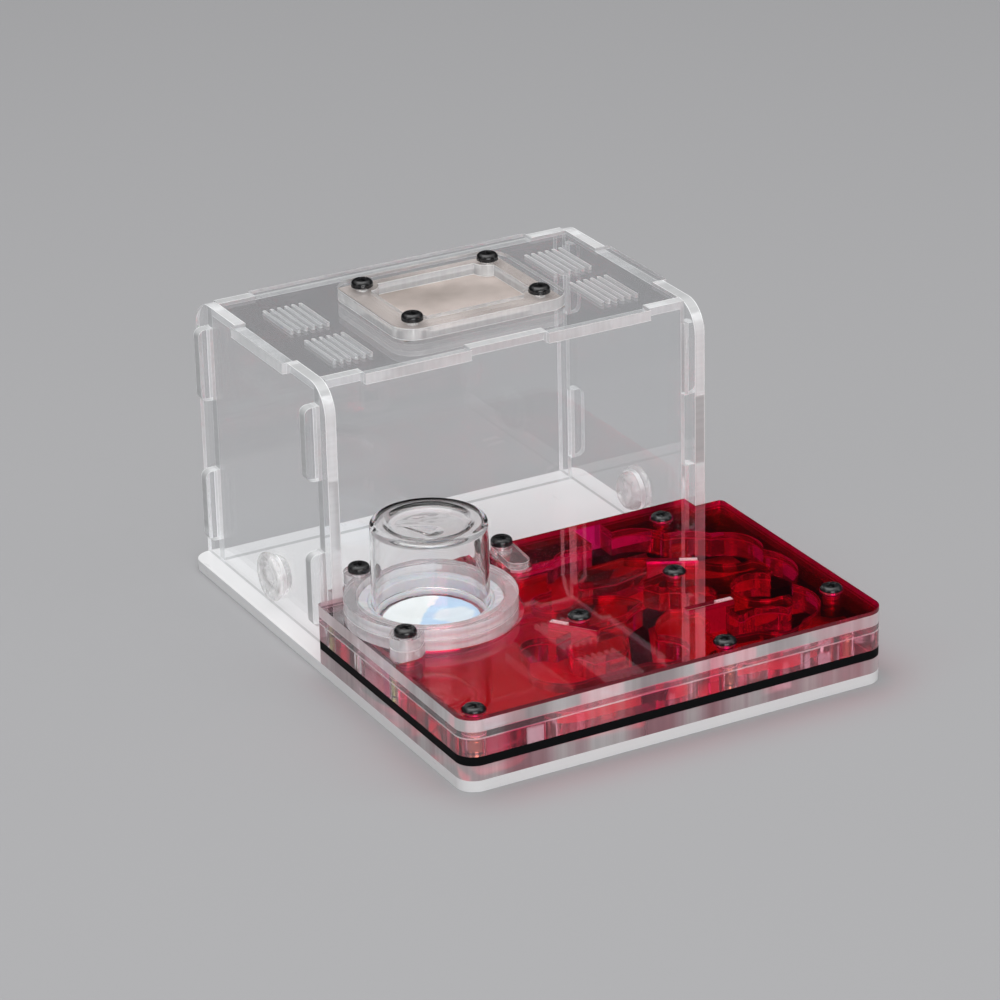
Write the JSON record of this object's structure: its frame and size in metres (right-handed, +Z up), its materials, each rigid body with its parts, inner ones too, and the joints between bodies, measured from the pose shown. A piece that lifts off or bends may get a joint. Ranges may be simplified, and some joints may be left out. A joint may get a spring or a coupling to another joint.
{
  "type": "ant habitat",
  "caption": "Tabletop ant habitat: laminated nest under a red filter with a water tower, joined to a finger-jointed clear arena with a mesh hatch and side ports.",
  "frame": {"origin": "middle of the base plate's underside, on the surface it stands on", "axes": "+X along the front edge to the right seen from the front, +Y from the nest towards the arena, +Z up"},
  "size_m": [0.12, 0.155, 0.0819],
  "materials": {
    "white_plate": "satin white acrylic",
    "clear_acrylic": "polished clear acrylic",
    "black_gasket": "matt",
    "red_acrylic": "polished transparent red",
    "brass": "turned",
    "black_screw": "gloss black",
    "steel_mesh": "fine woven mesh",
    "clear_plug": "clear",
    "milky_silicone": "milky translucent",
    "white_wick": "damp foam",
    "frosted_gate": "frosted clear"
  },
  "bodies": {
    "habitat": {"back_panel": "clear_acrylic", "base_plate": "white_plate", "cover_screws": "black_screw", "flap_screw": "black_screw", "flap_washer": "clear_acrylic", "front_panel": "clear_acrylic", "gasket": "black_gasket", "hatch_frame": "clear_acrylic", "hatch_screws": "black_screw", "left_panel": "clear_acrylic", "nest_cover": "clear_acrylic", "nest_islands": "clear_acrylic", "nest_wall": "clear_acrylic", "red_filter": "red_acrylic", "right_panel": "clear_acrylic", "spacer_islands": "clear_acrylic", "spacer_wall": "clear_acrylic", "threaded_inserts": "brass", "top_panel": "clear_acrylic", "tower_base_ring": "clear_acrylic", "tower_clamp_ring": "clear_acrylic", "tower_screws": "black_screw", "vent_mesh": "steel_mesh", "water_tray": "clear_acrylic", "wick_pad": "white_wick"},
    "cup": {"water_cup": "clear_acrylic", "cup_seal": "milky_silicone"},
    "flap": {"port_flap": "clear_acrylic"},
    "left_plug": {"plug_left": "clear_plug"},
    "right_plug": {"plug_right": "clear_plug"},
    "right_gate": {"gate_right": "frosted_gate"},
    "front_gate": {"gate_front": "frosted_gate"},
    "left_gate": {"gate_left": "frosted_gate"}
  },
  "joints": [
    {"name": "cup_lift", "type": "slide", "parent": "habitat", "child": "cup", "axis": [0, 0, 1], "range_m": [0, 0.03]},
    {"name": "flap_swivel", "type": "hinge", "parent": "habitat", "child": "flap", "pos_m": [-0.006, 0.0021, 0.0214], "axis": [0, 0, 1], "range_deg": [-90, 90]},
    {"name": "left_plug_pull", "type": "slide", "parent": "habitat", "child": "left_plug", "axis": [-1, 0, 0], "range_m": [0, 0.016]},
    {"name": "right_plug_pull", "type": "slide", "parent": "habitat", "child": "right_plug", "axis": [1, 0, 0], "range_m": [0, 0.016]},
    {"name": "right_gate_lift", "type": "slide", "parent": "habitat", "child": "right_gate", "axis": [0, 0, 1], "range_m": [0, 0.012]},
    {"name": "front_gate_lift", "type": "slide", "parent": "habitat", "child": "front_gate", "axis": [0, 0, 1], "range_m": [0, 0.012]},
    {"name": "left_gate_lift", "type": "slide", "parent": "habitat", "child": "left_gate", "axis": [0, 0, 1], "range_m": [0, 0.012]}
  ]
}
